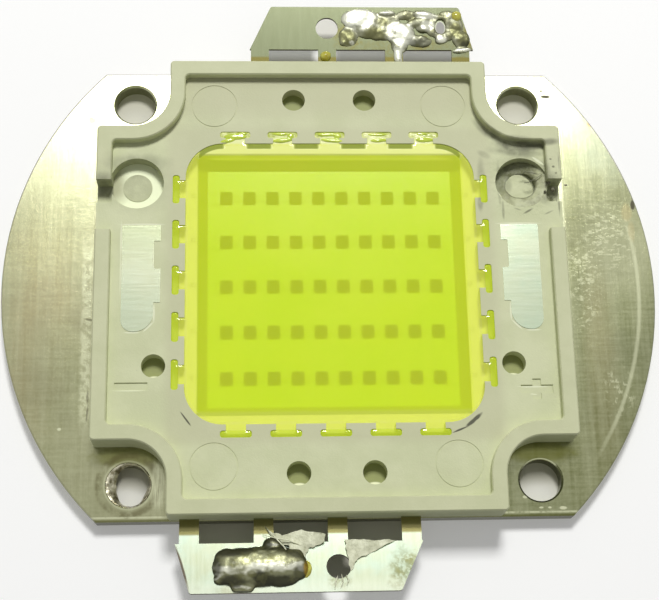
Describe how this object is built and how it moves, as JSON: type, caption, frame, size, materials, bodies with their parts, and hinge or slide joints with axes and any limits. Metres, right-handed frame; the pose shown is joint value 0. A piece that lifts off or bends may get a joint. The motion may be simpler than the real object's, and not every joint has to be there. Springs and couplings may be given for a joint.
{
  "type": "cob led module",
  "caption": "Flat square LED light module: plated metal base with screw holes, white frame, phosphor-covered die window and two soldering tabs.",
  "frame": {"origin": "middle of the base's underside", "axes": "+Z out of the light window, +X along the longest side from the minus side to the plus side, +Y towards the positive tab"},
  "size_m": [0.056, 0.0522, 0.0043],
  "materials": {
    "base": "nickel-plated copper, brushed and stained",
    "frame": "moulded white plastic, satin",
    "leads": "tinned copper sheet",
    "gel": "glossy silicone gel with yellow phosphor",
    "bonds": "silver-filled bond",
    "wires": "gold wire",
    "dies": "polished crystal",
    "solder": "shiny solder with flux"
  },
  "bodies": {
    "root": {"base_plate": "base", "frame": "frame", "positive_leadframe": "leads", "negative_leadframe": "leads", "phosphor_gel": "gel", "die_bonds": "bonds", "bond_wires": "wires", "solder_positive": "solder", "solder_negative": "solder", "led_die_r1_c01": "dies", "led_die_r1_c02": "dies", "led_die_r1_c03": "dies", "led_die_r1_c04": "dies", "led_die_r1_c05": "dies", "led_die_r1_c06": "dies", "led_die_r1_c07": "dies", "led_die_r1_c08": "dies", "led_die_r1_c09": "dies", "led_die_r1_c10": "dies", "led_die_r2_c01": "dies", "led_die_r2_c02": "dies", "led_die_r2_c03": "dies", "led_die_r2_c04": "dies", "led_die_r2_c05": "dies", "led_die_r2_c06": "dies", "led_die_r2_c07": "dies", "led_die_r2_c08": "dies", "led_die_r2_c09": "dies", "led_die_r2_c10": "dies", "led_die_r3_c01": "dies", "led_die_r3_c02": "dies", "led_die_r3_c03": "dies", "led_die_r3_c04": "dies", "led_die_r3_c05": "dies", "led_die_r3_c06": "dies", "led_die_r3_c07": "dies", "led_die_r3_c08": "dies", "led_die_r3_c09": "dies", "led_die_r3_c10": "dies", "led_die_r4_c01": "dies", "led_die_r4_c02": "dies", "led_die_r4_c03": "dies", "led_die_r4_c04": "dies", "led_die_r4_c05": "dies", "led_die_r4_c06": "dies", "led_die_r4_c07": "dies", "led_die_r4_c08": "dies", "led_die_r4_c09": "dies", "led_die_r4_c10": "dies", "led_die_r5_c01": "dies", "led_die_r5_c02": "dies", "led_die_r5_c03": "dies", "led_die_r5_c04": "dies", "led_die_r5_c05": "dies", "led_die_r5_c06": "dies", "led_die_r5_c07": "dies", "led_die_r5_c08": "dies", "led_die_r5_c09": "dies", "led_die_r5_c10": "dies"}
  },
  "joints": []
}
